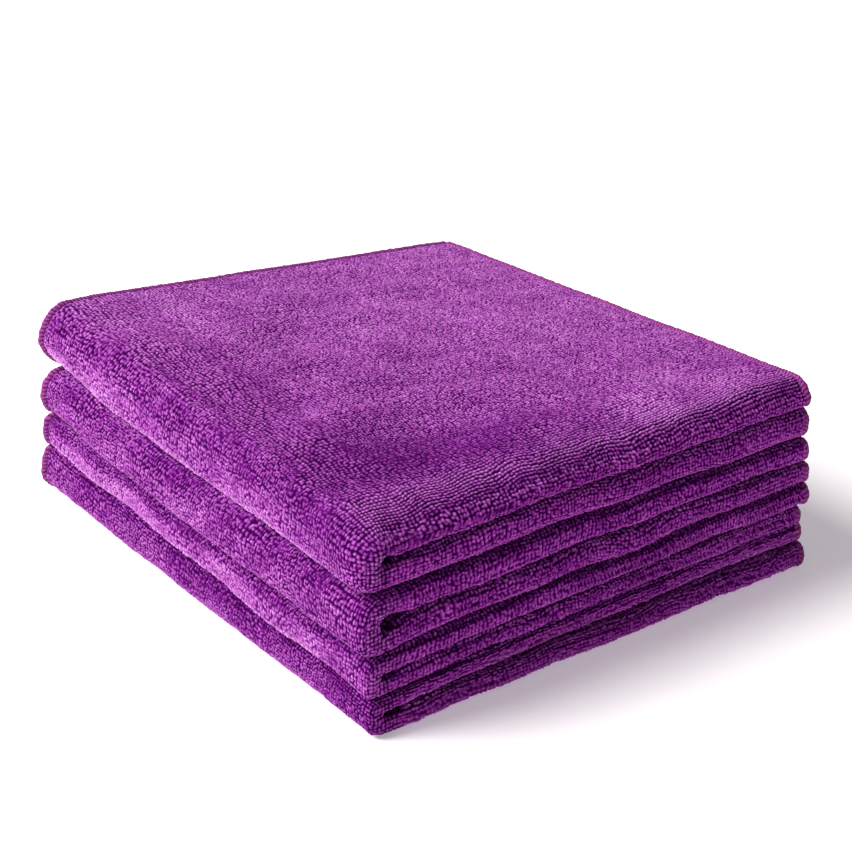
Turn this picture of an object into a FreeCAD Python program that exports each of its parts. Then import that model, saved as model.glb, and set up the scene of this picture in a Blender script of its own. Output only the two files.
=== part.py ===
"""Stack of four quick dry terry towels, each folded in quarters.

Millimetres, +Z up. The origin is the middle of the footprint on the surface
that the stack lies on. Each towel is folded twice:
  the first fold lies along +X, so a leaf is a hairpin of two cloth layers,
  the second fold, the spine, lies along -Y and joins the two leaves.
The overlocked free edges lie along -X and +Y.
"""
import FreeCAD, Part
import os

# ---- driving dimensions ----------------------------------------------------
STACK_LENGTH_X = 212.0    # free side edges to first fold
STACK_LENGTH_Y = 187.0    # spine to free end edges
CLOTH_THICKNESS = 2.9     # one layer of terry
HEM_WIDTH = 2.4           # overlocked edging
HEM_THICKNESS = 2.2       # edging, pressed thinner than the terry
HEM_TIP_THICKNESS = 1.1   # edging at its rounded outer edge
TOWEL_GAP = 0.3           # air between two towels of the stack
LEAF_GAP = 0.7            # air between a towel's two leaves at the free ends
CORE_SHARE = 0.5          # share of the spine's hollow that is its open core
FLOOR_PRESS = 0.1         # the lowest cloth is pressed flat by this much

# name, thickness at the folds, thickness at the free corner; bottom towel first
TOWELS = [
    ("bottom_towel", 17.8, 13.7),
    ("third_towel", 15.0, 13.4),
    ("second_towel", 20.0, 13.8),
    ("top_towel", 25.0, 14.3),
]

X_FOLD = STACK_LENGTH_X / 2.0
X_HEM = -STACK_LENGTH_X / 2.0
X_FREE = X_HEM + HEM_WIDTH
Y_FRONT = -STACK_LENGTH_Y / 2.0
Y_BACK = STACK_LENGTH_Y / 2.0
Y_FREE = Y_BACK - HEM_WIDTH
X_AXIS = FreeCAD.Vector(1.0, 0.0, 0.0)


class Heights:
    """Heights of one leaf's two layers above the towel's mid surface."""

    def __init__(self, mid_z, inner, outer):
        self.mid_z = mid_z
        self.inner = inner
        self.outer = outer

    def layer_middles(self):
        half = CLOTH_THICKNESS / 2.0
        return self.inner + half, self.outer - half


class Towel:
    """One quarter-folded towel: its spine axis and its heights at both ends."""

    def __init__(self, name, bottom_z, fold_thickness, corner_bottom_z, corner_thickness):
        self.name = name
        half = (fold_thickness - TOWEL_GAP) / 2.0
        corner_half = (corner_thickness - TOWEL_GAP) / 2.0
        hollow = half - 2.0 * CLOTH_THICKNESS
        self.spine_y = Y_FRONT + half
        self.spine_z = bottom_z + half
        self.at_spine = Heights(self.spine_z, hollow * CORE_SHARE, half)
        self.at_fold_end = Heights(self.spine_z, LEAF_GAP / 2.0, half)
        self.at_corner = Heights(corner_bottom_z + corner_half, LEAF_GAP / 2.0, corner_half)


def point(x, y, heights, side, height):
    """A point at a height above (side 1) or below (side -1) the mid surface."""
    return FreeCAD.Vector(x, y, heights.mid_z + side * height)


def hairpin_wire(y, x_open, fold, open_end, side, thickness):
    """Outline of one leaf's section: two layers joined by the round first fold."""
    radius = (fold.outer - fold.inner) / 2.0
    centre_x = X_FOLD - radius
    centre_h = (fold.outer + fold.inner) / 2.0
    inset = (CLOTH_THICKNESS - thickness) / 2.0
    outer_r = radius - inset
    inner_r = outer_r - thickness
    low, high = open_end.inner + inset, open_end.outer - inset
    low_end = point(x_open, y, open_end, side, low)
    low_fold = point(centre_x, y, fold, side, centre_h - outer_r)
    outer_tip = point(centre_x + outer_r, y, fold, side, centre_h)
    high_fold = point(centre_x, y, fold, side, centre_h + outer_r)
    high_end = point(x_open, y, open_end, side, high)
    high_inside = point(x_open, y, open_end, side, high - thickness)
    high_fold_inside = point(centre_x, y, fold, side, centre_h + inner_r)
    inner_tip = point(centre_x + inner_r, y, fold, side, centre_h)
    low_fold_inside = point(centre_x, y, fold, side, centre_h - inner_r)
    low_inside = point(x_open, y, open_end, side, low + thickness)
    return Part.Wire([
        Part.LineSegment(low_end, low_fold).toShape(),
        Part.Arc(low_fold, outer_tip, high_fold).toShape(),
        Part.LineSegment(high_fold, high_end).toShape(),
        Part.LineSegment(high_end, high_inside).toShape(),
        Part.LineSegment(high_inside, high_fold_inside).toShape(),
        Part.Arc(high_fold_inside, inner_tip, low_fold_inside).toShape(),
        Part.LineSegment(low_fold_inside, low_inside).toShape(),
        Part.LineSegment(low_inside, low_end).toShape(),
    ])


def bead_wire(y, heights, side, middle):
    """Outline of one side edging's section: square at the cloth, round outside."""
    half = HEM_THICKNESS / 2.0
    x_round = X_HEM + half
    top_cloth = point(X_FREE, y, heights, side, middle + half)
    top_round = point(x_round, y, heights, side, middle + half)
    tip = point(X_HEM, y, heights, side, middle)
    low_round = point(x_round, y, heights, side, middle - half)
    low_cloth = point(X_FREE, y, heights, side, middle - half)
    return Part.Wire([
        Part.LineSegment(top_cloth, top_round).toShape(),
        Part.Arc(top_round, tip, low_round).toShape(),
        Part.LineSegment(low_round, low_cloth).toShape(),
        Part.LineSegment(low_cloth, top_cloth).toShape(),
    ])


def make_leaf(towel, side):
    """Two cloth layers from the spine to the free end edges."""
    start = hairpin_wire(towel.spine_y, X_FREE, towel.at_spine, towel.at_spine,
                         side, CLOTH_THICKNESS)
    end = hairpin_wire(Y_FREE, X_FREE, towel.at_fold_end, towel.at_corner,
                       side, CLOTH_THICKNESS)
    return Part.makeLoft([start, end], True, True)


def revolve_half_turn(towel, wire):
    """Turn a section at the spine from the upper leaf round to the lower leaf."""
    centre = FreeCAD.Vector(0.0, towel.spine_y, towel.spine_z)
    return Part.Face(wire).revolve(centre, X_AXIS, 180.0)


def make_spine(towel):
    """The second fold: both layers turn half a circle round an open core."""
    section = hairpin_wire(towel.spine_y, X_FREE, towel.at_spine, towel.at_spine,
                           1, CLOTH_THICKNESS)
    return revolve_half_turn(towel, section)


def make_end_hem(towel, side):
    """Overlocked edging along the end edges, wrapping round the first fold."""
    stations = [
        (Y_FREE, HEM_THICKNESS),
        (Y_FREE + 0.55 * HEM_WIDTH, HEM_THICKNESS),
        (Y_BACK, HEM_TIP_THICKNESS),
    ]
    sections = [
        hairpin_wire(y, X_HEM, towel.at_fold_end, towel.at_corner, side, thickness)
        for y, thickness in stations
    ]
    return Part.makeLoft(sections, True, True)


def make_side_hem(towel, side):
    """Overlocked edging along the side edges of a leaf's two layers."""
    beads = []
    for start, end in zip(towel.at_spine.layer_middles(), towel.at_corner.layer_middles()):
        first = bead_wire(towel.spine_y, towel.at_spine, side, start)
        last = bead_wire(Y_FREE, towel.at_corner, side, end)
        beads.append(Part.makeLoft([first, last], True, True))
    return Part.makeCompound(beads)


def make_spine_hem(towel):
    """The side edgings where they go round the spine."""
    beads = [
        revolve_half_turn(towel, bead_wire(towel.spine_y, towel.at_spine, 1, middle))
        for middle in towel.at_spine.layer_middles()
    ]
    return Part.makeCompound(beads)


def make_towel(towel):
    """Every piece of one towel by node name."""
    return {
        towel.name + "_lower_leaf": make_leaf(towel, -1),
        towel.name + "_upper_leaf": make_leaf(towel, 1),
        towel.name + "_spine": make_spine(towel),
        towel.name + "_lower_end_hem": make_end_hem(towel, -1),
        towel.name + "_upper_end_hem": make_end_hem(towel, 1),
        towel.name + "_lower_side_hem": make_side_hem(towel, -1),
        towel.name + "_upper_side_hem": make_side_hem(towel, 1),
        towel.name + "_spine_hem": make_spine_hem(towel),
    }


def press_flat(shape):
    """Flatten what rests on the surface z = 0."""
    depth = 10.0
    corner = FreeCAD.Vector(-STACK_LENGTH_X, -STACK_LENGTH_Y, -depth)
    below = Part.makeBox(2.0 * STACK_LENGTH_X, 2.0 * STACK_LENGTH_Y, depth, corner)
    return shape.cut(below)


def stack_towels():
    """Lay the towels on each other, the lowest pressed onto z = 0."""
    towels = []
    bottom_z = -FLOOR_PRESS
    corner_bottom_z = -FLOOR_PRESS
    for name, fold_thickness, corner_thickness in TOWELS:
        towels.append(Towel(name, bottom_z, fold_thickness, corner_bottom_z, corner_thickness))
        bottom_z += fold_thickness
        corner_bottom_z += corner_thickness
    return towels


def main():
    os.makedirs("parts", exist_ok=True)
    for towel in stack_towels():
        for node, shape in make_towel(towel).items():
            if shape.BoundBox.ZMin < 0.0:
                shape = press_flat(shape)
            shape.exportStep("parts/" + node + ".step")
            box = shape.BoundBox
            print(node, "valid", shape.isValid(), "volume", round(shape.Volume, 1),
                  "z", round(box.ZMin, 2), round(box.ZMax, 2))
        print(towel.name, "spine axis y", round(towel.spine_y, 3),
              "z", round(towel.spine_z, 3),
              "core radius", round(towel.at_spine.inner, 2))


main()
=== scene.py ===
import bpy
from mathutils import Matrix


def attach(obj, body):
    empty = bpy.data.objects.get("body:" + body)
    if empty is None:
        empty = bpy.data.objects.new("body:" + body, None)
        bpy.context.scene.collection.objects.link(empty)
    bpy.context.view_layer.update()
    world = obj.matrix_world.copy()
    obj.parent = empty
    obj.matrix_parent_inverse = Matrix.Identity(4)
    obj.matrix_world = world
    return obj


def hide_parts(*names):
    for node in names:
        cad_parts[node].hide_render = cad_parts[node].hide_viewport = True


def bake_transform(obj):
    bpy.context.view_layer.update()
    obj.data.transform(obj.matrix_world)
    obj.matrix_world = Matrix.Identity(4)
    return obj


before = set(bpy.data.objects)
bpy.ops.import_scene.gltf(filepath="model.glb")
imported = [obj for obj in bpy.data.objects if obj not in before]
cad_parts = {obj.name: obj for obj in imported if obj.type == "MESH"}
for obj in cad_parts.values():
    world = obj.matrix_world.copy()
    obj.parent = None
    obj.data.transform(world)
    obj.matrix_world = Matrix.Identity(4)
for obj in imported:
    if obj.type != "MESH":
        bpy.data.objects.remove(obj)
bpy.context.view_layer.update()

# Four quick dry towels, each folded in quarters, in one stack. Lengths are in
# millimetres until a mesh is made. Every towel is one sheet that is folded
# twice, sampled as a grid: s runs across the first fold, v across the second.

import math

import bpy
import numpy as np

MM = 0.001

# ---- the stack ---------------------------------------------------------------
X_HEM, X_FOLD = -106.0, 106.0      # free side edges, tips of the first folds
Y_FRONT, Y_BACK = -93.5, 93.5      # fronts of the spines, free end edges
CLOTH = 2.9                        # one layer of terry
TOWEL_GAP = 0.05                   # half of the air between two towels
LEAF_GAP = 0.12                    # half of the air between two leaves
HEM_WIDTH = 2.6                    # overlocked edging
HEM_THICKNESS = 3.1
HEM_PITCH = 1.40                   # from one overlock stitch to the next
HEM_BULGE = 0.38                   # how much thicker it stands where it turns the spine
HEM_LAP = 0.35                     # how far it laps over the edge of the cloth
HEM_SWAY = 0.18                    # how unevenly the stitches follow each other
HEM_SIDES = 12                     # points round it

# ---- the pile ----------------------------------------------------------------
LOOP_PITCH = 1.54                  # from one standing loop to the next
CURL_PITCH = 1.24                  # the same where the loops lie over, on open faces
CROWDING = 0.0008                  # how fast the loops get closer away from the spine
LOOP_HEIGHT = 0.80                 # relief between loop tips and gaps
LOOP_STAGGER = 0.12                # shift of every second row, as a share of the pitch
LOOP_WANDER = 0.62                 # how far a curl may lie from its place in the row
LOOP_DOME = 0.62                   # exponent of a loop's height from its rim to its tip
DRAWN_ACROSS = (0.74, 0.44)        # half size in s and v of a loop drawn across the fold
DRAWN_ALONG = (0.40, 0.90)         # the same for a loop drawn along it
CREASE_DEPTH = (1.2, 1.1, 0.7, 0.3)  # creases along the first folds, bottom first
LEAST_ROUNDING = (0.15, 0.3)       # least half height and reach of a fold's rounding

# ---- the grids -------------------------------------------------------------------
FINE_STEP = 0.36                   # where the loops are real relief
COARSE_STEP = 2.0                  # inside the stack
NEAR_FOLD = 8.0                    # the steps are fine this near to a first fold
# Of the inner side of the cloth and of the line that the hems follow: the steps
# away from and near a first fold, and how near; then the lines round that fold,
# from a spine to the end edges, and round the spine.
BACK_RUN, BACK_ARC, BACK_ROWS, BACK_SPINE = (5.0, 3.0, 12.0), 10, 40, 13
HEM_RUN, HEM_ARC, HEM_ROWS, HEM_SPINE = (2.0, 1.0, 12.0), 24, 90, 41
# About how far the cloth runs between its turns.
RUN_LENGTH = X_FOLD - X_HEM - 10.0
LEAF_LENGTH = Y_BACK - Y_FRONT - 12.0
FOLD_INSET = 8.0                   # from a first fold's tip to where its height is taken
SPINE_INSET = 10.0                 # from the spine's front to about where the leaves start

# ---- the top face ----------------------------------------------------------------
# How far it sinks towards each edge, and the reach of that.
FOLD_DROOP, SPINE_DROOP, DROOP_REACH = 1.3, 1.0, 30.0
SIDE_DROOP, END_DROOP, HEM_DROOP_REACH = 0.4, 0.5, 16.0
LUMP_HEIGHTS, LUMP_WAVES = (0.85, 0.35), (62.0, 24.0)
LUMP_MARGIN = 45.0                 # from the free edges to where the lumps are full

# First seed of each set of waves. Each towel or leaf adds its own number.
SEEDS = {"boundary": 100, "lumps": 200, "front": 300, "tip": 400, "side": 500,
         "end": 600, "swell": 700, "hem": 900}

# Per towel, bottom first.
# corners      thickness at the front fold, front hem, back fold, back hem corner
# share        the lower leaf's part of the thickness
# front        how far the spine stands back, at the free edges, midway and at the first fold
# crown        exponent of the spine's outline above its middle
# sag          the same under its middle, at the free edges and over the rest
# core         half height of the hollow in the spine, and how far it reaches in
# sides        how far the free side edges stand back
# painted_light_below  painted light: how much paler the pile is painted where it faces down,
# under the spine's middle and on the first fold
# painted_spine_shade  painted shade: how much darker the spine's pile is painted, and more on its
# upper half
# rows         how clearly the loops stand in rows along the spine and along the first fold
# Per leaf, lower then upper.
# tips         how far the first fold stands out, at the spine, midway and at the back
# fold_reach   length of the first fold's rounding against its height
# fold_round   exponent of the rounding that faces away from the towel's middle
# tip_height   share of the leaf's thickness at which the first fold stands out furthest
# backs        how far the end edges stand out
# combs        loops on the first fold drawn out round it (1) or along it (-1)
# pressed      exponent of the rounding where both leaves press together
TOWELS = [
    {"name": "bottom_towel", "corners": (14.8, 20.0, 18.8, 13.6), "share": 0.56,
     "tips": ((-2.2, -1.5, -1.3), (-2.8, -4.2, -3.0)), "front": (-1.4, -0.8, -0.5),
     "crown": 3.4, "sag": (2.1, 3.0), "core": (0.6, 8.0), "fold_reach": (1.0, 1.0),
     "fold_round": (2.6, 2.8), "tip_height": (0.5, 0.5), "pressed": 3.0,
     "backs": (3.0, 2.2), "sides": -1.8, "combs": (-0.6, -0.8),
     "painted_light_below": (0.45, 0.75), "painted_spine_shade": (0.7, 1.2), "rows": (0.1, 0.0), "seed": 3},
    {"name": "third_towel", "corners": (16.4, 13.4, 16.6, 13.4), "share": 0.48,
     "tips": ((-2.8, -3.6, -1.4), (-2.0, -2.2, 0.0)), "front": (0.0, -1.7, -1.6),
     "crown": 2.8, "sag": (4.2, 4.0), "core": (0.6, 8.0), "fold_reach": (1.0, 1.1),
     "fold_round": (2.8, 2.6), "tip_height": (0.5, 0.5), "pressed": 2.8,
     "backs": (0.0, 1.8), "sides": -1.6, "combs": (0.3, 0.9),
     "painted_light_below": (1.15, 0.45), "painted_spine_shade": (0.0, 1.3), "rows": (0.1, 0.0), "seed": 11},
    {"name": "second_towel", "corners": (23.2, 18.6, 18.4, 13.8), "share": 0.49,
     "tips": ((-1.9, -1.9, -0.7), (-1.2, -1.6, -0.4)), "front": (-0.6, -3.6, -3.7),
     "crown": 2.1, "sag": (2.3, 4.3), "core": (2.3, 10.0), "fold_reach": (1.05, 1.15),
     "fold_round": (2.6, 2.6), "tip_height": (0.5, 0.5), "pressed": 2.8,
     "backs": (1.6, 0.4), "sides": 0.0, "combs": (0.1, 0.4),
     "painted_light_below": (0.25, 0.35), "painted_spine_shade": (0.0, 0.95), "rows": (0.1, 0.0), "seed": 23},
    {"name": "top_towel", "corners": (23.2, 27.2, 23.8, 14.3), "share": 0.53,
     "tips": ((-1.2, -1.5, -0.2), (-1.2, -1.6, -0.2)), "front": (0.2, -1.9, -4.4),
     "crown": 2.05, "sag": (1.75, 4.6), "core": (1.3, 4.5), "fold_reach": (1.1, 3.4),
     "fold_round": (2.4, 1.75), "tip_height": (0.5, 0.34), "pressed": 3.2,
     "backs": (0.0, 0.0), "sides": 0.0, "combs": (0.2, 0.0),
     "painted_light_below": (1.05, 0.30), "painted_spine_shade": (0.0, 0.75), "rows": (0.15, 0.5), "seed": 37},
]

# Patches of the top face painted darker (below 0) or lighter (above 0): painted shade and painted
# light.
# middle x and y, reach in x and y, amount
TOP_PAINTED_LIGHT = [
    (-78.0, -62.0, 50.0, 34.0, 0.85),
    (-32.0, 10.0, 30.0, 56.0, 0.40),
    (4.0, 46.0, 26.0, 30.0, 0.60),
    (60.0, -64.0, 28.0, 40.0, -1.2),
    (72.0, -26.0, 28.0, 36.0, -1.0),
    (80.0, 50.0, 24.0, 44.0, 1.2),
]


# ---- smooth random fields ------------------------------------------------------
def smoothstep(t):
    t = np.clip(t, 0.0, 1.0)
    return t * t * (3.0 - 2.0 * t)


def waves(x, y, wavelength, seed, count=7):
    """A smooth random field of about -1 to 1 with features of one wavelength."""
    r = np.random.default_rng(seed)
    total = np.zeros(np.broadcast(x, y).shape)
    for _ in range(count):
        angle, phase = r.uniform(0.0, 2.0 * math.pi, 2)
        k = 2.0 * math.pi / (wavelength * r.uniform(0.75, 1.5))
        total += np.cos(k * (x * math.cos(angle) + y * math.sin(angle)) + phase)
    return total / math.sqrt(0.5 * count) * 0.6


HASH_FACTORS = (374761393, 668265263, 1274126177)   # large primes
HASH_MASK, SHARE_MASK = 0xFFFFFFFF, 0xFFFF


def cell_random(i, j, seed):
    """Four repeatable random numbers from 0 to 1 for each cell of a lattice."""
    factor_i, factor_j, factor_seed = HASH_FACTORS
    h = (i.astype(np.int64) * factor_i + j.astype(np.int64) * factor_j
         + seed * factor_seed) & HASH_MASK
    numbers = []
    for _ in range(4):
        h = ((h ^ (h >> 13)) * factor_seed) & HASH_MASK
        h = h ^ (h >> 16)
        numbers.append((h & SHARE_MASK) / SHARE_MASK)
    return numbers


def loop_relief(s, v, pitch, wild, comb, seed):
    """Height from 0 in the gaps to 1 on the tips of the terry loops.

    wild turns neat round loops (0) into curls that lie every way (1), and comb
    draws them out across the first fold (1) or along it (-1)."""
    gs, gv = s / pitch, v / pitch
    row0 = np.floor(gv)
    relief = np.zeros_like(gs)
    drawn_s, drawn_v = (np.where(comb > 0.0, across, along)
                        for across, along in zip(DRAWN_ACROSS, DRAWN_ALONG))
    for dj in (-1, 0, 1):
        row = row0 + dj
        stagger = LOOP_STAGGER * (row % 2)
        col0 = np.floor(gs - stagger)
        for di in (-1, 0, 1):
            col = col0 + di
            r1, r2, r3, r4 = cell_random(col, row, seed)
            dx = gs - (col + 0.5 + stagger + LOOP_WANDER * wild * (r1 - 0.5))
            dy = gv - (row + 0.5 + LOOP_WANDER * wild * (r2 - 0.5))
            turn = math.pi * r3
            size = 0.86 + 0.28 * r2
            long = size * (0.54 + wild * (0.05 + 0.12 * r4))
            short = size * (0.52 - 0.10 * wild)
            across = dx * np.cos(turn) + dy * np.sin(turn)
            along = -dx * np.sin(turn) + dy * np.cos(turn)
            loose = (across / short) ** 2 + (along / long) ** 2
            drawn = (dx / drawn_s) ** 2 + (dy / drawn_v) ** 2
            inside = 1.0 - loose - np.abs(comb) * (drawn - loose)
            tip = 1.0 - 0.30 * wild * r4 - 0.12 * r1
            relief = np.maximum(relief, tip * np.clip(inside, 0.0, 1.0) ** LOOP_DOME)
    return relief


# ---- the layers of the stack ----------------------------------------------------
def bowed(values, share):
    """Runs through three values at the shares 0, one half and 1."""
    first, half, last = values
    bow = 4.0 * (half - 0.5 * (first + last))
    return first + (last - first) * share + bow * share * (1.0 - share)


def towel_thickness(towel, x, y):
    """Thickness between a towel's corners."""
    front_fold, front_hem, back_fold, back_hem = towel["corners"]
    fx = np.clip((X_FOLD - x) / (X_FOLD - X_HEM), 0.0, 1.0)
    fy = np.clip((y - Y_FRONT) / (Y_BACK - Y_FRONT), 0.0, 1.0)
    front = front_fold + (front_hem - front_fold) * fx
    back = back_fold + (back_hem - back_fold) * fx
    return front + (back - front) * fy


def top_droop(x, y):
    """How far the top face sinks towards its four edges."""
    fold = smoothstep((x - (X_FOLD - DROOP_REACH)) / DROOP_REACH)
    fold = fold * smoothstep((Y_BACK + 20.0 - y) / 130.0)
    spine = smoothstep(((Y_FRONT + DROOP_REACH) - y) / DROOP_REACH)
    side = smoothstep(((X_HEM + HEM_DROOP_REACH) - x) / HEM_DROOP_REACH)
    end = smoothstep((y - (Y_BACK - HEM_DROOP_REACH)) / HEM_DROOP_REACH)
    return FOLD_DROOP * fold + SPINE_DROOP * spine + SIDE_DROOP * side + END_DROOP * end


def level(k, x, y):
    """Height of the boundary under towel k, with the stack's top for k = 4."""
    height = np.zeros(np.broadcast(x, y).shape)
    for towel in TOWELS[:k]:
        height = height + towel_thickness(towel, x, y)
    if k == 0:
        return height
    if k < len(TOWELS):
        return height + 0.45 * waves(x, y, 48.0, SEEDS["boundary"] + k)
    inside = smoothstep((x - X_HEM) / LUMP_MARGIN) * smoothstep((Y_BACK - y) / LUMP_MARGIN)
    large, small = (size * waves(x, y, wavelength, SEEDS["lumps"] + i)
                    for i, (size, wavelength) in enumerate(zip(LUMP_HEIGHTS, LUMP_WAVES)))
    return height + (0.25 + 0.75 * inside) * (large + small) - top_droop(x, y)


def middle(k, x, y):
    """Height of the surface between a towel's two leaves."""
    low, high = level(k, x, y), level(k + 1, x, y)
    return low + TOWELS[k]["share"] * (high - low)


def leaf_room(k, side, x, y):
    """Height from the towel's middle to its outside, on one side."""
    if side > 0:
        return level(k + 1, x, y) - middle(k, x, y) - TOWEL_GAP
    floor_gap = 0.0 if k == 0 else TOWEL_GAP
    return middle(k, x, y) - level(k, x, y) - floor_gap


def spine_y(k, x):
    """Where the leaves end and the spine begins, so that the fronts line up."""
    y = np.full_like(x, Y_FRONT + 0.5 * TOWELS[k]["corners"][0])
    radius = 0.5 * (leaf_room(k, 1, x, y) + leaf_room(k, -1, x, y))
    standing_back = bowed(TOWELS[k]["front"], (x - X_HEM) / (X_FOLD - X_HEM))
    wobble = 0.45 * waves(x, np.zeros_like(x), 48.0, SEEDS["front"] + k)
    return Y_FRONT + radius + standing_back + 0.4 + wobble


# ---- sampling one towel ----------------------------------------------------------
def steps(start, end, step):
    """Evenly spaced values from start to end, no more than a step apart."""
    count = max(2, int(math.ceil(abs(end - start) / step)) + 1)
    return np.linspace(start, end, count)


def run_lines(step_far, step_near, near):
    """Shares from the free edge (0) to the first fold (1), finer near the fold."""
    far = steps(0.0, 1.0 - near / RUN_LENGTH, step_far / RUN_LENGTH)
    close = steps(1.0 - near / RUN_LENGTH, 1.0, step_near / RUN_LENGTH)
    return np.concatenate([far, close[1:]])


def squircle(angle, exponent):
    """Cosine and sine of an outline between a circle and a rounded square."""
    c, s = np.cos(angle), np.sin(angle)
    power = 2.0 / exponent
    return np.abs(c) ** power, np.sign(s) * np.abs(s) ** power


def even_angles(count, exponent, stretch=1.0):
    """Angles from -90 to 90 degrees that are evenly spaced along a squircle,
    the upper half of which may be stretched."""
    dense = np.linspace(-0.5 * math.pi, 0.5 * math.pi, 2001)
    c, s = squircle(dense, exponent)
    widths = np.diff(c) * np.where(dense[1:] > 0.0, stretch, 1.0)
    along = np.concatenate([[0.0], np.cumsum(np.hypot(widths, np.diff(s)))])
    return np.interp(np.linspace(0.0, along[-1], count), along, dense)


class SLines:
    """The lines across the first fold: first layer, fold, second layer."""

    def __init__(self, inner_run, arc_count, outer_run, stretch=1.0):
        arc = even_angles(arc_count, 2.2, stretch)[1:-1]
        self.zone = np.concatenate([
            np.zeros(len(inner_run)), np.ones(len(arc)), np.full(len(outer_run), 2.0)])
        self.value = np.concatenate([inner_run, arc, outer_run[::-1]])


def leaf_section(k, side, lines, f, depth):
    """x, y, height from the middle and middle height over the lines of one leaf.

    f is the share of the way from the spine (0) to the end edges (1), and
    depth is how far under the outside of the cloth the points lie."""
    towel = TOWELS[k]
    upper = 1 if side > 0 else 0
    leaf = 2 * k + upper
    least_half, least_reach = LEAST_ROUNDING
    zone, value = lines.zone[None, :], lines.value[None, :]
    f = f[:, None]
    rough_y = Y_FRONT + SPINE_INSET + f * (Y_BACK - Y_FRONT - SPINE_INSET)
    by_fold = np.full_like(rough_y, X_FOLD - FOLD_INSET)
    tip = X_FOLD + bowed(towel["tips"][upper], f)
    tip = tip + 0.55 * waves(rough_y, 0.0 * rough_y, 44.0, SEEDS["tip"] + leaf)
    centre_y = spine_y(k, by_fold)
    end_y = Y_BACK - HEM_WIDTH + towel["backs"][upper]
    arc_y = centre_y + f * (end_y - centre_y)
    room = leaf_room(k, side, by_fold, arc_y)
    core_height, core_length = towel["core"]
    core = LEAF_GAP + (core_height - LEAF_GAP) * (
        1.0 - smoothstep(f * (end_y - Y_FRONT) / core_length))
    angle = np.where(zone == 1, value, 0.0)
    inward = (zone == 0) | (angle < 0.0)
    outer_reach = 1.0 + (towel["fold_reach"][upper] - 1.0) * (1.0 - 0.8 * f)
    reach = 0.5 * (room - core) * np.where(inward, 1.05, outer_reach)
    centre_x = tip - reach
    edge_shift = np.where(zone == 0, 0.7, -0.3) * (1 if (k + upper) % 2 else -1)
    edge_shift = edge_shift + 0.4 * waves(rough_y, zone * 9.0, 60.0, SEEDS["side"] + leaf)
    free_x = X_HEM + HEM_WIDTH + 0.6 + towel["sides"] + edge_shift * smoothstep(4.0 * f)
    run_x = free_x + value * (centre_x - free_x)
    base_x = np.where(zone == 1, centre_x, run_x)
    y = spine_y(k, base_x)
    end_shift = 0.35 * waves(base_x, zone * 7.0, 70.0, SEEDS["end"] + leaf)
    y = y + f * (end_y + end_shift * smoothstep(2.0 * f - 1.0) - y)
    room = leaf_room(k, side, base_x, y)
    exponent = np.where(inward, towel["pressed"], towel["fold_round"][upper])
    c, s = squircle(angle, exponent)
    tip_h = core + towel["tip_height"][upper] * (room - core)
    half = np.where(inward, tip_h - core, room - tip_h) - depth
    arc_h = tip_h + np.maximum(half, least_half) * s
    arc_x = centre_x + np.maximum(reach - depth, least_reach) * c
    low_h = np.minimum(core + depth, tip_h - least_half)
    high_h = np.maximum(room - depth, tip_h + least_half)
    x = np.where(zone == 1, arc_x, run_x)
    h = np.where(zone == 1, arc_h, np.where(zone == 0, low_h, high_h))
    return x, y, h, middle(k, base_x, y)


def sheet_points(k, lines, leaf_f, spine_count, depth):
    """Points of one side of the cloth, from the upper end edge round the spine
    to the lower end edge, and how much each line follows the upper leaf."""
    up_x, up_y, up_h, up_m = leaf_section(k, 1, lines, leaf_f, depth)
    lo_x, lo_y, lo_h, lo_m = leaf_section(k, -1, lines, leaf_f, depth)
    upper = np.stack([up_x, up_y, up_m + up_h], -1)[::-1]
    lower = np.stack([lo_x, lo_y, lo_m - lo_h], -1)
    low_x = lo_x[0][None, :]
    free_sag, full_sag = TOWELS[k]["sag"]
    sag = free_sag + (full_sag - free_sag) * smoothstep((low_x - X_HEM) / 70.0)
    angle = even_angles(spine_count, 0.5 * (TOWELS[k]["crown"] + full_sag))[::-1][:, None]
    across, updown = squircle(angle, np.where(angle < 0.0, sag, TOWELS[k]["crown"]))
    share = np.linspace(1.0, 0.0, spine_count)[:, None]

    def mixed(a, b):
        return b[0][None, :] + share * (a[0] - b[0])[None, :]

    x, y, h, m = (mixed(a, b) for a, b in
                  ((up_x, lo_x), (up_y, lo_y), (up_h, lo_h), (up_m, lo_m)))
    swell = 1.0 + 0.03 * across * waves(x, 30.0 * angle, 36.0, SEEDS["swell"] + k)
    spine = np.stack([x, y - h * across * swell, m + h * updown], -1)
    points = np.concatenate([upper[:-1], spine, lower[1:]])
    follow = np.concatenate([
        np.ones(len(upper) - 1), share[:, 0], np.zeros(len(lower) - 1)])
    return points, follow


def running_length(line):
    """Length along a line of points, from its start."""
    gaps = np.linalg.norm(np.diff(line, axis=0), axis=1)
    return np.concatenate([[0.0], np.cumsum(gaps)])


def lengths_along(points, axis):
    """Running length over a grid along one axis, from each line's own start."""
    gaps = np.linalg.norm(np.diff(points, axis=axis), axis=-1)
    pad = [(0, 0), (0, 0)]
    pad[axis] = (1, 0)
    return np.cumsum(np.pad(gaps, pad), axis=axis)


def grid_normals(points):
    ds = np.gradient(points, axis=1)
    dv = np.gradient(points, axis=0)
    n = np.cross(ds, dv)
    return n / np.maximum(np.linalg.norm(n, axis=-1, keepdims=True), 1e-9)


def painted_top_light(x, y):
    """Painted light and shade in patches over the top face."""
    total = 0.0
    for middle_x, middle_y, reach_x, reach_y, amount in TOP_PAINTED_LIGHT:
        away = np.hypot((x - middle_x) / reach_x, (y - middle_y) / reach_y)
        total = total + amount * smoothstep(1.6 * (1.0 - away))
    return total


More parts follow.
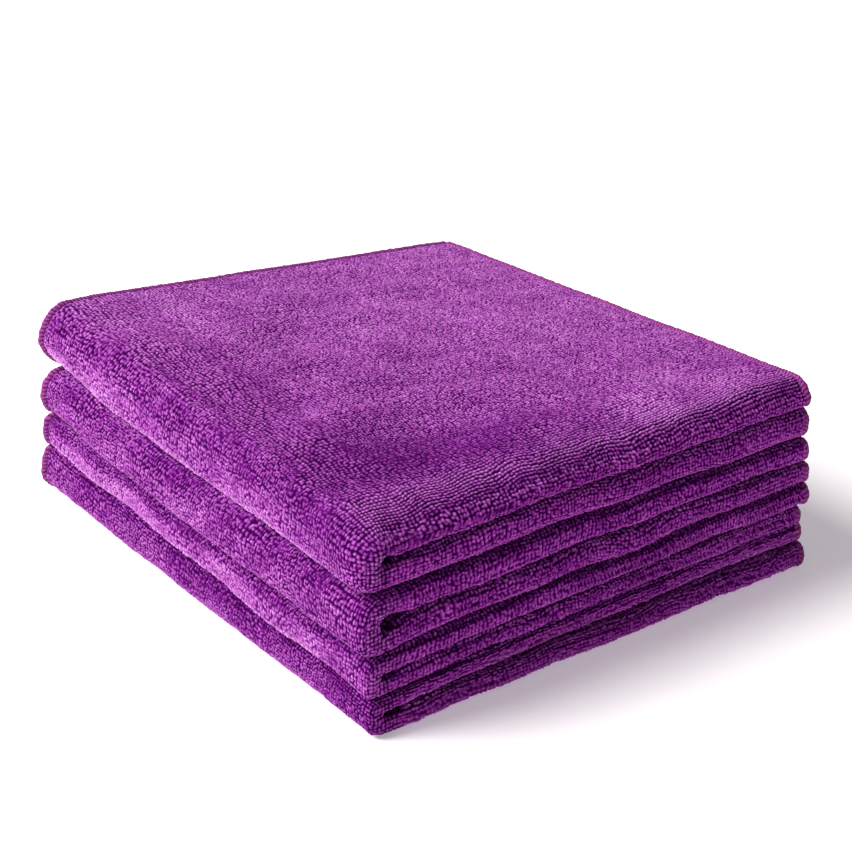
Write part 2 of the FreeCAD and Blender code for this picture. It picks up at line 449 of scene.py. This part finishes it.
class Face:
    """The outside of one towel's cloth, before its pile is drawn on it.

    s and v are lengths along the cloth, across the first fold and round the
    spine. follow says how much each line follows the upper leaf."""

    def __init__(self, k, lines, leaf_f, spine_count):
        self.k, self.lines, self.seed = k, lines, TOWELS[k]["seed"]
        self.points, self.follow = sheet_points(k, lines, leaf_f, spine_count, 0.0)
        self.normal = grid_normals(self.points)
        s = lengths_along(self.points, 1)
        s = s - s[:, -1:] + np.median(s[:, -1])
        outer = self.points[:, -1 - len(lines.value) // 4, :][:, None, :]
        v = lengths_along(outer, 0)
        self.step = np.maximum(np.gradient(s, axis=1), np.gradient(v[:, 0])[:, None])
        self.s, self.v = np.broadcast_arrays(s, v)
        arc = self.s[:, lines.zone == 1]
        self.half_arc = 0.5 * (arc[:, -1:] - arc[:, :1])
        self.past_fold = self.s - arc[:, :1] - self.half_arc
        self.past_spine = self.v - self.v[len(self.v) // 2, 0]
        self.from_fold, self.from_spine = np.abs(self.past_fold), np.abs(self.past_spine)
        self.to_edge = np.minimum(self.s - self.s[:, :1], self.s[:, -1:] - self.s)
        self.on_spine = 1.0 - smoothstep((self.from_spine - 14.0) / 8.0)
        self.on_fold = 1.0 - smoothstep((self.from_fold - self.half_arc + 1.0) / 4.0)
        self.open_face = smoothstep((self.from_fold - 12.0) / 44.0)
        self.open_face = self.open_face * smoothstep((self.from_spine - 16.0) / 44.0)
        self.spine_front = self.on_spine * smoothstep((self.from_fold - 8.0) / 30.0)

    def ripple(self, wavelength, number):
        return waves(self.s, self.v, wavelength, self.seed + number)

    def squeezed(self):
        """1 where the inside of the first fold crowds together round the spine."""
        value = self.lines.value
        inner = (self.lines.zone == 1) & (value < 0.75)
        inner = inner * smoothstep((0.75 - np.where(inner, value, 0.75)) / 0.5)
        on_leaf = (self.follow == 1.0) | (self.follow == 0.0)
        y = self.points[..., 1]
        seam_y = np.max(np.where(on_leaf[:, None], -1e9, y))
        return inner[None, :] * (1.0 - smoothstep((y - seam_y) / 7.0))


def loop_habit(face, patch):
    """How wild the loops lie (0 to 1), and how they are drawn out (-1 to 1)."""
    towel, upper = TOWELS[face.k], face.follow[:, None]
    spine_rows, fold_rows = towel["rows"]
    along_spine = 1.0 - smoothstep((face.from_spine - 26.0) / 22.0)
    along_spine = spine_rows * along_spine * smoothstep((upper - 0.45) / 0.25)
    along_fold = smoothstep((face.past_fold - 1.0) / 3.0) * (1.0 - face.on_spine)
    past_rounding = smoothstep((face.past_fold - face.half_arc) / 16.0)
    along_fold = fold_rows * along_fold * (1.0 - past_rounding)
    wild = 0.58 + 0.35 * face.open_face + 0.35 * face.spine_front + 0.2 * patch
    wild = wild - 0.6 * (along_spine + along_fold)
    low_comb, high_comb = towel["combs"]
    comb = low_comb + (high_comb - low_comb) * upper
    comb = comb * face.on_fold * (1.0 - face.on_spine) * (0.75 + 0.35 * face.ripple(40.0, 6))
    comb = comb + along_spine - along_fold
    return np.clip(wild, 0.0, 1.0), np.clip(comb, -0.9, 0.9)


def pile_relief(face, patch, squeezed):
    """Height of the pile from 0 to 1, and where its loops lie over (1)."""
    wild, comb = loop_habit(face, patch)
    away = face.past_spine
    bent_v = (away + CROWDING * away * np.abs(away)) * 0.92 + 0.9 * face.ripple(26.0, 10)
    bent_s = face.s + 0.9 * face.ripple(22.0, 11)
    standing = loop_relief(bent_s, bent_v, LOOP_PITCH, wild, comb, face.seed)
    lying = loop_relief(bent_s, bent_v, CURL_PITCH, 0.80, 0.0, face.seed + 8)
    laid = smoothstep(1.6 * face.open_face - 0.2 + 0.5 * (patch - 0.5))
    laid = np.maximum(laid, face.spine_front * smoothstep(1.5 * patch - 0.1 * face.k))
    relief = standing + laid * (lying - standing)
    y, z = face.points[..., 1], face.points[..., 2]
    nose = loop_relief(z + 40.0, y + 200.0, LOOP_PITCH, 0.45, 0.0, face.seed + 9)
    return relief + squeezed * (nose - relief), laid


def pile_sink(face, relief, detail):
    """How far the surface lies under the loops' highest tips."""
    height = LOOP_HEIGHT * (0.85 + 0.2 * face.ripple(15.0, 2))
    height = height * (0.35 + 0.65 * smoothstep(face.to_edge / 3.0))
    sink = detail * height * (1.0 - relief) + (1.0 - detail) * 0.2 * height
    sink = sink + 0.14 * (1.0 + face.ripple(6.0, 3))
    sink = sink + (0.25 + 0.45 * face.on_spine) * (1.0 - smoothstep(face.to_edge / 2.5))
    creases = np.clip(waves(face.s, face.v / 22.0, 3.6, face.seed + 7), 0.0, 1.0)
    return sink + CREASE_DEPTH[face.k] * face.on_fold * (1.0 - face.on_spine) * creases


def pile_tone_and_painted_light(face, points, laid, squeezed):
    """Painted light and shade on the pile, with tone that differs at random: darker below 0 and
    lighter above.
    """
    facing_up = face.normal[..., 2]
    tone_and_painted_light = 0.32 * face.ripple(26.0, 4) + 0.30 * face.ripple(8.0, 5)
    # Painted light and shade: lighter towards the back and the free side edges, darker towards
    # the front and the first folds.
    tone_and_painted_light = tone_and_painted_light + 0.3 * (points[..., 1] / Y_BACK - points[..., 0] / X_FOLD)
    tone_and_painted_light = tone_and_painted_light + 0.5 * laid - 0.35
    if face.k == len(TOWELS) - 1:
        outside = (face.follow[:, None] > 0.5) & (face.past_fold > 0.0)
        # Painted light and shade in patches on the top face.
        tone_and_painted_light = tone_and_painted_light + outside * painted_top_light(points[..., 0], points[..., 1])
    # Painted shade: darker inside the first fold, where it crowds round the spine.
    turned_in = smoothstep((-0.5 - np.minimum(face.lines.value[None, :], 0.0)) / 0.8)
    tone_and_painted_light = tone_and_painted_light - 2.5 * squeezed * turned_in
    # Painted shade: darker spines, most on their upper halves under the towel above.
    shaded_spine, shaded_upper_half = TOWELS[face.k]["painted_spine_shade"]
    turning = smoothstep((facing_up + 0.05) / 0.65) * smoothstep((1.0 - facing_up) / 0.25)
    tone_and_painted_light = tone_and_painted_light - face.on_spine * (shaded_spine + shaded_upper_half * turning)
    # Painted shade: darker where the first fold rounds over and turns from the light.
    rounding = smoothstep((1.0 - facing_up) / 0.12) * smoothstep((facing_up - 0.25) / 0.4)
    rounding = rounding * (0.3 + 1.7 * smoothstep(0.5 * face.past_fold))
    return tone_and_painted_light - rounding * face.on_fold * (1.0 - face.on_spine)


def painted_light_from_below(face):
    """Painted light: where the cloth faces down, its pile is painted paler, as if lit from below.
    """
    under_spine, on_first_fold = TOWELS[face.k]["painted_light_below"]
    away = 0.15 + 0.85 * smoothstep((face.from_fold - 8.0) / 34.0)
    under_spine = under_spine * face.on_spine * away
    on_first_fold = on_first_fold * face.on_fold * (1.0 - face.on_spine)
    facing_down = smoothstep((0.40 - face.normal[..., 2]) / 1.2)
    return facing_down * np.maximum(under_spine, on_first_fold)


def terry_face(k, lines, leaf_f, spine_count):
    """The outside of one towel's cloth with its pile, as a grid with fields."""
    face = Face(k, lines, leaf_f, spine_count)
    patch = 0.5 + 0.5 * face.ripple(34.0, 1)
    squeezed = face.squeezed()
    relief, laid = pile_relief(face, patch, squeezed)
    detail = smoothstep((1.15 - face.step) / 0.5)
    sink = pile_sink(face, relief, detail)
    points = face.points - face.normal * sink[..., None]
    # Painted shade: faces of the first folds that turn away from the sky.
    painted_fold_shade = smoothstep((0.95 - face.normal[..., 2]) / 0.6)
    fields = {
        "pile": relief,
        "detail": detail,
        # The next three fields carry painted light and shade to the material, with random tone in
        # the first.
        "tone_and_painted_light": pile_tone_and_painted_light(face, points, laid, squeezed),
        "painted_light_below": painted_light_from_below(face),
        "painted_fold_shade": face.on_fold * (1.0 - 0.6 * face.on_spine) * painted_fold_shade,
        "cloth_s": face.s,
        "cloth_v": face.v,
    }
    return points, face.follow, fields


# ---- building meshes -------------------------------------------------------------
class Builder:
    """Collects points, faces and fields, then makes one object of them."""

    def __init__(self):
        self.points, self.quads, self.triangles = [], [], []
        self.fields, self.count = {}, 0

    def add_points(self, points, fields):
        flat = points.reshape(-1, 3)
        self.points.append(flat)
        for name, values in fields.items():
            self.fields.setdefault(name, []).append(
                np.broadcast_to(values, points.shape[:-1]).reshape(-1))
        ids = self.count + np.arange(len(flat)).reshape(points.shape[:-1])
        self.count += len(flat)
        return ids

    def add_grid(self, ids, flipped=False):
        corners = [ids[:-1, :-1], ids[:-1, 1:], ids[1:, 1:], ids[1:, :-1]]
        if flipped:
            corners = corners[::-1]
        self.quads.append(np.stack([c.ravel() for c in corners], -1))

    def stitch(self, a, b, outward):
        """Triangles between two lines of points that run the same way."""
        points = np.concatenate(self.points)
        at_a, at_b = running_length(points[a]), running_length(points[b])
        at_a, at_b = at_a / at_a[-1], at_b / at_b[-1]
        i = j = 0
        made = []
        while i < len(a) - 1 or j < len(b) - 1:
            if j == len(b) - 1 or (i < len(a) - 1 and at_a[i + 1] <= at_b[j + 1]):
                made.append((a[i], a[i + 1], b[j]))
                i += 1
            else:
                made.append((a[i], b[j + 1], b[j]))
                j += 1
        self.add_triangles(np.array(made), outward)

    def add_triangles(self, triangles, outward):
        """Adds triangles that all turn one way, so that they face outward."""
        p = np.concatenate(self.points)[triangles]
        facing = np.cross(p[:, 1] - p[:, 0], p[:, 2] - p[:, 0]).sum(0)
        outside_in = facing @ np.array(outward) <= 0
        self.triangles.append(triangles[:, ::-1] if outside_in else triangles)

    def object(self, name, material):
        points = np.concatenate(self.points) * MM
        points[:, 2] = np.maximum(points[:, 2], 0.0)
        quads = np.concatenate(self.quads) if self.quads else np.zeros((0, 4), int)
        triangles = np.concatenate(self.triangles) if self.triangles else np.zeros((0, 3), int)
        corners = np.concatenate([quads.ravel(), triangles.ravel()]).astype(np.int32)
        sizes = np.concatenate([np.full(len(quads), 4), np.full(len(triangles), 3)])
        starts = np.concatenate([[0], np.cumsum(sizes)[:-1]]).astype(np.int32)
        mesh = bpy.data.meshes.new(name)
        mesh.vertices.add(len(points))
        mesh.vertices.foreach_set("co", points.astype(np.float32).ravel())
        mesh.loops.add(len(corners))
        mesh.loops.foreach_set("vertex_index", corners)
        mesh.polygons.add(len(sizes))
        mesh.polygons.foreach_set("loop_start", starts)
        mesh.update(calc_edges=True)
        mesh.validate()
        mesh.shade_smooth()
        for field, values in self.fields.items():
            attribute = mesh.attributes.new(field, "FLOAT", "POINT")
            attribute.data.foreach_set("value", np.concatenate(values).astype(np.float32))
        mesh.materials.append(material)
        obj = bpy.data.objects.new(name, mesh)
        bpy.context.scene.collection.objects.link(obj)
        return obj


def cloth_piece(name, material, face, back, rows, back_rows, ends):
    """One closed piece of cloth from part of a towel's outer and inner grids."""
    builder = Builder()
    points, fields = face
    outer = builder.add_points(points[rows], {n: f[rows] for n, f in fields.items()})
    plain = {n: 0.0 for n in fields}
    plain["tone_and_painted_light"] = -0.4
    inner = builder.add_points(back[back_rows], plain)
    builder.add_grid(outer)
    builder.add_grid(inner, flipped=True)
    builder.stitch(outer[0], inner[0], ends[0])
    builder.stitch(outer[-1], inner[-1], ends[1])
    builder.stitch(outer[:, 0], inner[:, 0], (-1.0, 0.0, 0.0))
    builder.stitch(outer[:, -1], inner[:, -1], (-1.0, 0.0, 0.0))
    return builder.object(name, material)


def square_to(vectors, *axes):
    """Unit vectors with what they share with some other unit vectors taken off."""
    for axis in axes:
        vectors = vectors - (vectors * axis).sum(1, keepdims=True) * axis
    return vectors / np.linalg.norm(vectors, axis=1, keepdims=True)


def add_hem(builder, line, normal, outward, follow, start, seed):
    """One overlocked edging along a line of the cloth's edge."""
    length = running_length(line)
    at = steps(0.0, length[-1], HEM_PITCH / 5.0)
    centre, n, out = (
        np.stack([np.interp(at, length, values[:, i]) for i in range(3)], -1)
        for values in (line, normal, outward))
    tangent = square_to(np.gradient(centre, axis=0))
    out = square_to(out, tangent)
    n = square_to(n, tangent, out)
    around = np.linspace(0.0, 2.0 * math.pi, HEM_SIDES + 1)[None, :]
    arc = (start + at)[:, None]
    sway = HEM_SWAY * waves(arc, 0.0 * arc, 9.0, seed)
    phase = 2.0 * math.pi * (arc + sway) / HEM_PITCH + 2.0 * around
    yarn = (0.5 + 0.5 * np.cos(phase)) ** 0.7
    radius = 0.90 + 0.10 * yarn + 0.07 * waves(arc, around * 2.0, 3.0, seed + 1)
    weights = np.interp(at, length, follow)
    bulge = 4.0 * weights * (1.0 - weights)
    tall = 0.5 * HEM_THICKNESS * (1.0 + HEM_BULGE * bulge[:, None])
    wide = 0.5 * HEM_WIDTH + HEM_LAP
    offset_out = wide * np.cos(around) * radius + 0.5 * HEM_WIDTH - HEM_LAP
    offset_n = tall * np.sin(around) * radius
    points = (centre[:, None, :] + out[:, None, :] * offset_out[..., None]
              + n[:, None, :] * offset_n[..., None])
    fields = {"pile": yarn, "detail": 1.0, "tone_and_painted_light": 0.5 * sway / HEM_SWAY,
              "cloth_s": arc, "cloth_v": 4.0 * around + seed,
              "follow": weights[:, None]}
    ids = builder.add_points(points[:, :-1], {
        field: np.broadcast_to(f, points.shape[:-1])[:, :-1] for field, f in fields.items()})
    ring = np.concatenate([ids, ids[:, :1]], axis=1)
    side = np.cross(points[0, 1] - points[0, 0], points[1, 0] - points[0, 0])
    builder.add_grid(ring, flipped=side @ out[0] < 0)
    for row, away in ((0, -tangent[0]), (-1, tangent[-1])):
        hub_fields = dict.fromkeys(fields, 0.5)
        hub_fields["follow"] = weights[row]
        hub = builder.add_points(points[row, :-1].mean(0)[None, :], hub_fields)
        fan = np.stack([ring[row, :-1], ring[row, 1:], np.full(HEM_SIDES, hub[0])], -1)
        builder.add_triangles(fan, away)
    return start + length[-1]


# ---- materials -------------------------------------------------------------------
class Nodes:
    """Short calls for wiring a material."""

    def __init__(self, name):
        self.material = bpy.data.materials.new(name)
        self.material.use_nodes = True
        self.tree = self.material.node_tree
        self.shader = self.tree.nodes["Principled BSDF"]

    def new(self, kind, **values):
        node = self.tree.nodes.new(kind)
        for key, value in values.items():
            setattr(node, key, value)
        return node

    def link(self, source, target):
        self.tree.links.new(source, target)

    def field(self, name):
        return self.new("ShaderNodeAttribute", attribute_name=name).outputs["Fac"]

    def math(self, operation, a, b, clamp=False):
        node = self.new("ShaderNodeMath", operation=operation, use_clamp=clamp)
        for socket, value in zip(node.inputs, (a, b)):
            if isinstance(value, float):
                socket.default_value = value
            else:
                self.link(value, socket)
        return node.outputs[0]

    def mix(self, factor, a, b):
        """Numbers mixed by a factor."""
        return self.math("ADD", self.math("MULTIPLY", a, self.math("SUBTRACT", 1.0, factor)),
                         self.math("MULTIPLY", b, factor))

    def vary(self, value, texture, amount):
        """A number moved up and down by a texture from 0 to 1."""
        swing = self.math("MULTIPLY", self.math("SUBTRACT", texture, 0.5), amount)
        return self.math("ADD", value, swing)

    def tint(self, factor, colour, tint):
        """A colour multiplied by a tint as far as the factor says."""
        node = self.new("ShaderNodeMix", data_type="RGBA", blend_type="MULTIPLY")
        factor_in, colour_in, tint_in = node.inputs[0], node.inputs[6], node.inputs[7]
        self.link(factor, factor_in)
        self.link(colour, colour_in)
        tint_in.default_value = (*tint, 1.0)
        return node.outputs[2]

    def ramp(self, factor, stops):
        node = self.new("ShaderNodeValToRGB")
        elements = node.color_ramp.elements
        while len(elements) < len(stops):
            elements.new(0.5)
        for element, (position, colour) in zip(elements, stops):
            element.position = position
            element.color = (*colour, 1.0)
        self.link(factor, node.inputs[0])
        return node.outputs[0]

    def bump(self, height, strength, distance):
        node = self.new("ShaderNodeBump")
        node.inputs["Strength"].default_value = strength
        node.inputs["Distance"].default_value = distance
        self.link(height, node.inputs["Height"])
        self.link(node.outputs[0], self.shader.inputs["Normal"])

    def finish(self, settings):
        """Sets what is the same all over the surface."""
        for socket, value in settings.items():
            self.shader.inputs[socket].default_value = value
        return self.material


def cloth_vector(nodes, scale):
    """Place on the cloth as it was before it was folded."""
    combine = nodes.new("ShaderNodeCombineXYZ")
    for field, socket in zip(("cloth_s", "cloth_v"), combine.inputs):
        nodes.link(nodes.math("MULTIPLY", nodes.field(field), scale), socket)
    return combine.outputs[0]


def noise(nodes, vector, scale, detail=2.0):
    node = nodes.new("ShaderNodeTexNoise")
    node.inputs["Scale"].default_value = scale
    node.inputs["Detail"].default_value = detail
    nodes.link(vector, node.inputs["Vector"])
    return node.outputs["Fac"]


# Colours from the gaps between the loops or stitches (0) to their tips (1).
# For the terry, the dark gaps add painted shade to the real shade of the loops' relief, the pale
# pink tips are painted sheen, and the last stop is painted light for faces turned down.
TERRY_SHADES = [
    (0.0, (0.030, 0.001, 0.048)),
    (0.256, (0.130, 0.006, 0.165)),
    (0.544, (0.395, 0.100, 0.425)),
    (0.80, (0.660, 0.330, 0.685)),
    (1.0, (0.860, 0.450, 0.880)),
]
THREAD_SHADES = [
    (0.0, (0.090, 0.006, 0.080)),
    (0.5, (0.225, 0.026, 0.200)),
    (1.0, (0.360, 0.080, 0.330)),
]
FLOOR_SHADES = [(0.0, (0.90, 0.90, 0.90)), (1.0, (0.94, 0.94, 0.94))]
# Painted shade: the faces of the first folds are tinted deeper purple.
PAINTED_FOLD_SHADE_TINT = (0.97, 0.52, 0.97)     # on the first folds light is caught between the loops


def terry_material():
    nodes = Nodes("terry")
    loops = nodes.new("ShaderNodeTexVoronoi", feature="F1")
    loops.inputs["Scale"].default_value = 1.0
    loops.inputs["Randomness"].default_value = 0.75
    nodes.link(cloth_vector(nodes, 1.0 / LOOP_PITCH), loops.inputs["Vector"])
    drawn = nodes.math("SUBTRACT", 1.08, loops.outputs["Distance"], clamp=True)
    pile = nodes.mix(nodes.field("detail"), drawn, nodes.field("pile"))
    yarn_vector = cloth_vector(nodes, 1.0)
    fibres = noise(nodes, yarn_vector, 2.1, 3.0)
    clumps = noise(nodes, yarn_vector, 0.55)
    shade = nodes.vary(nodes.vary(pile, fibres, 0.80), clumps, 0.35)
    # Painted light and shade from the mesh make the colour darker or lighter.
    shade = nodes.math("ADD", shade, nodes.math("MULTIPLY", nodes.field("tone_and_painted_light"), 0.10), clamp=True)
    # Painted light: faces turned down are painted paler, with softer contrast.
    painted_light_below = nodes.field("painted_light_below")
    softer = nodes.math("SUBTRACT", 0.80, nodes.math("MULTIPLY", painted_light_below, 0.30))
    shade = nodes.math("ADD", nodes.math("MULTIPLY", shade, softer),
                       nodes.math("MULTIPLY", painted_light_below, 0.48))
    # Painted shade: the faces of the first folds are tinted deeper purple.
    colour = nodes.tint(nodes.field("painted_fold_shade"), nodes.ramp(shade, TERRY_SHADES), PAINTED_FOLD_SHADE_TINT)
    nodes.link(colour, nodes.shader.inputs["Base Color"])
    roughness = nodes.math("ADD", 0.62, nodes.math("MULTIPLY", fibres, 0.25))
    nodes.link(roughness, nodes.shader.inputs["Roughness"])
    drawn_share = nodes.math("SUBTRACT", 1.0, nodes.math("MULTIPLY", nodes.field("detail"), 0.75))
    relief = nodes.math("ADD", nodes.math("MULTIPLY", pile, drawn_share),
                        nodes.math("MULTIPLY", fibres, 0.90))
    nodes.bump(relief, 0.9, 0.45 * MM)
    return nodes.finish({
        "Specular IOR Level": 0.0,
        "Sheen Weight": 0.05,
        "Sheen Roughness": 0.45,
        "Sheen Tint": (0.90, 0.35, 0.95, 1.0),
    })


def thread_material():
    nodes = Nodes("overlock_thread")
    fibres = noise(nodes, cloth_vector(nodes, 1.0), 3.4, 3.0)
    shade = nodes.vary(nodes.field("pile"), fibres, 0.7)
    shade = nodes.math("ADD", shade, nodes.math("MULTIPLY", nodes.field("tone_and_painted_light"), 0.2), clamp=True)
    nodes.link(nodes.ramp(shade, THREAD_SHADES), nodes.shader.inputs["Base Color"])
    roughness = nodes.math("ADD", 0.55, nodes.math("MULTIPLY", fibres, 0.25))
    nodes.link(roughness, nodes.shader.inputs["Roughness"])
    nodes.bump(fibres, 0.8, 0.25 * MM)
    return nodes.finish({
        "Specular IOR Level": 0.1,
        "Sheen Weight": 0.06,
        "Sheen Roughness": 0.4,
        "Sheen Tint": (0.85, 0.40, 0.75, 1.0),
    })


def floor_material():
    nodes = Nodes("pale_floor")
    coordinates = nodes.new("ShaderNodeTexCoord")
    grain = noise(nodes, coordinates.outputs["Object"], 40.0)
    nodes.link(nodes.ramp(grain, FLOOR_SHADES), nodes.shader.inputs["Base Color"])
    return nodes.finish({
        "Roughness": 0.9,
        "Specular IOR Level": 0.1,
        # The floor glows faintly: painted light that lightens its shadow and lights the towels
        # from below.
        "Emission Color": (0.93, 1.0, 0.93, 1.0),
        "Emission Strength": 0.30,
    })


# ---- the towels ------------------------------------------------------------------
def bend(obj, weights):
    """Bakes a piece's placement into its mesh."""
    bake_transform(obj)


def make_cloth(k, terry):
    """The two leaves and the spine of one towel."""
    towel = TOWELS[k]
    name = towel["name"]
    on_top = k == len(TOWELS) - 1
    stretch = max(towel["fold_reach"])
    fold_length = 0.5 * max(towel["corners"]) * (0.8 + 0.5 * stretch)
    fold_lines = int(1.15 * fold_length / FINE_STEP)
    hidden_run = run_lines(COARSE_STEP, FINE_STEP, NEAR_FOLD)
    hidden_lines = SLines(hidden_run, fold_lines, hidden_run, stretch)
    seen_run = run_lines(FINE_STEP, FINE_STEP, NEAR_FOLD)
    seen_lines = SLines(hidden_run, fold_lines, seen_run, stretch)
    back_run = run_lines(*BACK_RUN)
    back_lines = SLines(back_run, BACK_ARC, back_run)
    rows = int(LEAF_LENGTH / FINE_STEP)
    leaf_f = np.linspace(0.0, 1.0, rows)
    radius = 0.25 * (towel["corners"][0] + towel["corners"][1])
    spine_count = int(math.pi * radius / FINE_STEP) // 2 * 2 + 1    # odd, with a middle line
    back_f = np.linspace(0.0, 1.0, BACK_ROWS)
    back, _ = sheet_points(k, back_lines, back_f, BACK_SPINE, CLOTH)
    parts = {
        "lower_leaf": (slice(rows + spine_count - 2, None),
                       slice(BACK_ROWS + BACK_SPINE - 2, None),
                       ((0.0, -1.0, 0.0), (0.0, 1.0, 0.0))),
        "upper_leaf": (slice(0, rows), slice(0, BACK_ROWS),
                       ((0.0, 1.0, 0.0), (0.0, -1.0, 0.0))),
    }
    hidden = terry_face(k, hidden_lines, leaf_f, spine_count)
    seen = terry_face(k, seen_lines, leaf_f, spine_count)
    for part, (cut, back_cut, ends) in parts.items():
        points, follow, fields = seen if on_top and part == "upper_leaf" else hidden
        obj = cloth_piece(name + "_" + part + "_terry", terry, (points, fields), back,
                          cut, back_cut, ends)
        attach(obj, name + "_" + part.split("_")[0])
        finish_cloth(name + "_" + part)
    points, follow, fields = seen
    cut = slice(rows - 1, rows - 1 + spine_count)
    back_cut = slice(BACK_ROWS - 1, BACK_ROWS - 1 + BACK_SPINE)
    fields = dict(fields, follow=np.broadcast_to(follow[:, None], fields["pile"].shape))
    spine = cloth_piece(name + "_spine_terry", terry, (points, fields), back, cut, back_cut,
                        ((0.0, 1.0, 0.0), (0.0, 1.0, 0.0)))
    weights = read_field(spine, "follow")
    inner_rows = np.linspace(1.0, 0.0, BACK_SPINE)
    outer_count = spine_count * points.shape[1]
    weights[outer_count:] = np.repeat(inner_rows, back.shape[1])
    bend(spine, weights)
    finish_cloth(name + "_spine")


def read_field(obj, field):
    values = np.zeros(len(obj.data.vertices), np.float32)
    obj.data.attributes[field].data.foreach_get("value", values)
    return values


def finish_cloth(node):
    """Hides the imported part that a cloth piece stands for."""
    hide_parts(node)


def make_hems(k, thread):
    """Every edging of one towel."""
    name = TOWELS[k]["name"]
    run = run_lines(*HEM_RUN)
    lines = SLines(run, HEM_ARC, run)
    leaf_f = np.linspace(0.0, 1.0, HEM_ROWS)
    points, follow = sheet_points(k, lines, leaf_f, HEM_SPINE, 0.5 * CLOTH)
    normal = grid_normals(points)
    seed = SEEDS["hem"] + 10 * k
    end_out = np.broadcast_to(np.array([0.0, 1.0, 0.0]), points[0].shape)
    for side, row in (("upper", 0), ("lower", -1)):
        builder = Builder()
        add_hem(builder, points[row], normal[row], end_out,
                np.zeros(points.shape[1]), 0.0, seed + row)
        finish_hem(builder, name + "_" + side + "_end_hem", name + "_" + side, thread)
    sections = {
        "upper_side_hem": slice(0, HEM_ROWS),
        "spine_hem": slice(HEM_ROWS - 1, HEM_ROWS - 1 + HEM_SPINE),
        "lower_side_hem": slice(HEM_ROWS + HEM_SPINE - 2, None),
    }
    builders = {part: Builder() for part in sections}
    for column in (0, -1):
        start = 0.0
        for part, cut in sections.items():
            line = points[cut, column]
            out = np.broadcast_to(np.array([-1.0, 0.0, 0.0]), line.shape)
            start = add_hem(builders[part], line, normal[cut, column], out, follow[cut],
                            start, seed + 5 + column)
    for part, builder in builders.items():
        body = None if part == "spine_hem" else name + "_" + part.split("_")[0]
        finish_hem(builder, name + "_" + part, body, thread)


def finish_hem(builder, node, body, thread):
    obj = builder.object(node + "_overlock", thread)
    if body is None:
        bend(obj, read_field(obj, "follow"))
    else:
        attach(obj, body)
    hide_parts(node)


# ---- the studio --------------------------------------------------------------------
STACK_MIDDLE = (0.0, 0.0, 0.03)
KEY_PLACE, KEY_SIZE, KEY_POWER = (-1.05, -1.94, 2.20), 2.20, 180.0
KEY_COLOUR = (1.0, 0.98, 0.96)
AMBIENT_COLOUR, AMBIENT_STRENGTH = (1.0, 0.70, 1.0, 1.0), 0.23
BACKDROP_COLOUR = (0.96, 0.96, 0.96, 1.0)
FLOOR_SPAN, FLOOR_LINES = 3000.0, 9
CAMERA_AZIMUTH, CAMERA_ELEVATION = math.radians(53.5), math.radians(27.5)
CAMERA_DISTANCE, CAMERA_LENS = 1.0255, 119.9
CAMERA_TARGET = (-0.0025, 0.0070, 0.0402)


def aim(obj, target):
    direction = np.array(target) - np.array(obj.location)
    flat = math.hypot(direction[0], direction[1])
    obj.rotation_euler = (math.atan2(flat, -direction[2]), 0.0,
                          math.atan2(direction[1], direction[0]) - 0.5 * math.pi)


def make_key_light():
    data = bpy.data.lights.new("key", "AREA")
    data.shape = "DISK"
    data.size = KEY_SIZE
    data.energy = KEY_POWER
    data.color = KEY_COLOUR
    light = bpy.data.objects.new("key", data)
    light.location = KEY_PLACE
    bpy.context.scene.collection.objects.link(light)
    aim(light, STACK_MIDDLE)


def make_world():
    """Soft light from all round, and a plain backdrop where nothing stands."""
    world = bpy.data.worlds.new("studio")
    bpy.context.scene.world = world
    world.use_nodes = True
    nodes, links = world.node_tree.nodes, world.node_tree.links
    ambient = nodes["Background"]
    ambient.inputs["Color"].default_value = AMBIENT_COLOUR
    ambient.inputs["Strength"].default_value = AMBIENT_STRENGTH
    backdrop = nodes.new("ShaderNodeBackground")
    backdrop.inputs["Color"].default_value = BACKDROP_COLOUR
    backdrop.inputs["Strength"].default_value = 1.0
    rays = nodes.new("ShaderNodeLightPath")
    either = nodes.new("ShaderNodeMixShader")
    links.new(rays.outputs["Is Camera Ray"], either.inputs[0])
    links.new(ambient.outputs[0], either.inputs[1])
    links.new(backdrop.outputs[0], either.inputs[2])
    links.new(either.outputs[0], nodes["World Output"].inputs["Surface"])
    bpy.context.scene.view_settings.view_transform = "Standard"


def make_floor():
    builder = Builder()
    line = np.linspace(-FLOOR_SPAN, FLOOR_SPAN, FLOOR_LINES)
    x, y = np.meshgrid(line, line)
    builder.add_grid(builder.add_points(np.stack([x, y, np.zeros_like(x)], -1), {}))
    builder.object("studio_floor", floor_material())


def make_camera():
    back = np.array([math.sin(CAMERA_AZIMUTH) * math.cos(CAMERA_ELEVATION),
                     -math.cos(CAMERA_AZIMUTH) * math.cos(CAMERA_ELEVATION),
                     math.sin(CAMERA_ELEVATION)])
    data = bpy.data.cameras.new("camera")
    data.lens = CAMERA_LENS
    data.sensor_width = 36.0
    data.clip_start = 0.05
    camera = bpy.data.objects.new("camera", data)
    camera.location = np.array(CAMERA_TARGET) + CAMERA_DISTANCE * back
    bpy.context.scene.collection.objects.link(camera)
    camera.rotation_euler = (0.5 * math.pi - CAMERA_ELEVATION, 0.0, CAMERA_AZIMUTH)
    bpy.context.scene.camera = camera


def main():
    terry, thread = terry_material(), thread_material()
    for k in range(len(TOWELS)):
        make_cloth(k, terry)
        make_hems(k, thread)
    make_world()
    make_key_light()
    make_floor()
    make_camera()


main()
